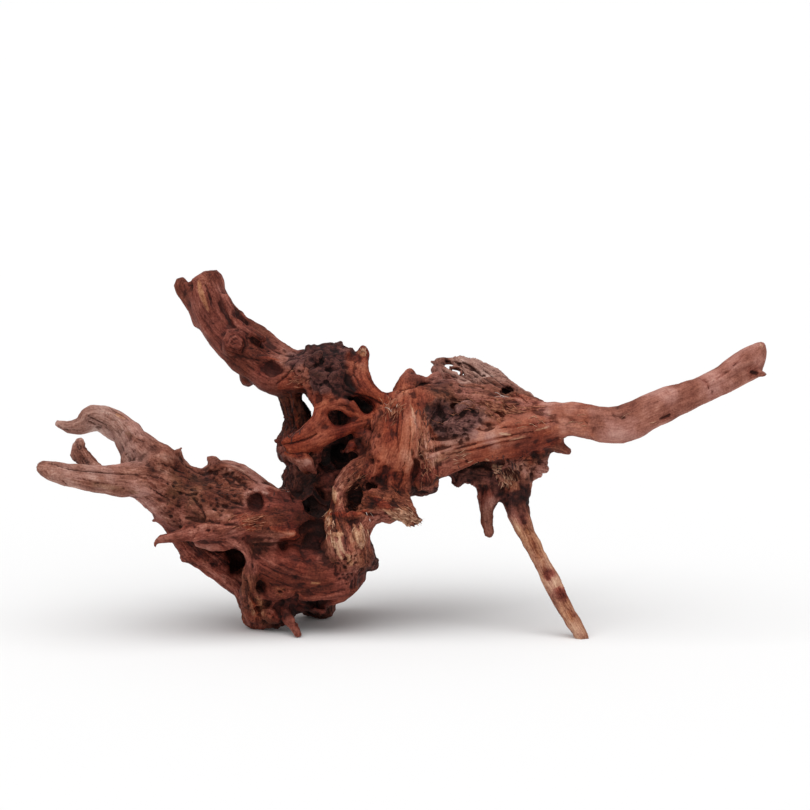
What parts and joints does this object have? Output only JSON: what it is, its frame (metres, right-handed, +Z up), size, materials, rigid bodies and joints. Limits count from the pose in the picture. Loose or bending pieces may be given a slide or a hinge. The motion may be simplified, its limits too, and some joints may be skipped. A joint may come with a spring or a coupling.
{
  "type": "driftwood root",
  "caption": "Gnarled piece of driftwood root that stands on a thin leg and two knobs, with a long arm to one side and forked fingers to the other.",
  "frame": {"origin": "middle of the bounding box's base, on the surface that the root stands on", "axes": "+Z up, +X along the long arm, +Y from the front side to the back; the front side is the one with the open arch and the peeled web of strands"},
  "size_m": [0.4395, 0.1617, 0.2131],
  "materials": {
    "wood": "bare, water-worn wood, matt, smooth on the arm and rough with bark and pits elsewhere"
  },
  "bodies": {
    "root": {"driftwood_root": "wood"}
  },
  "joints": []
}
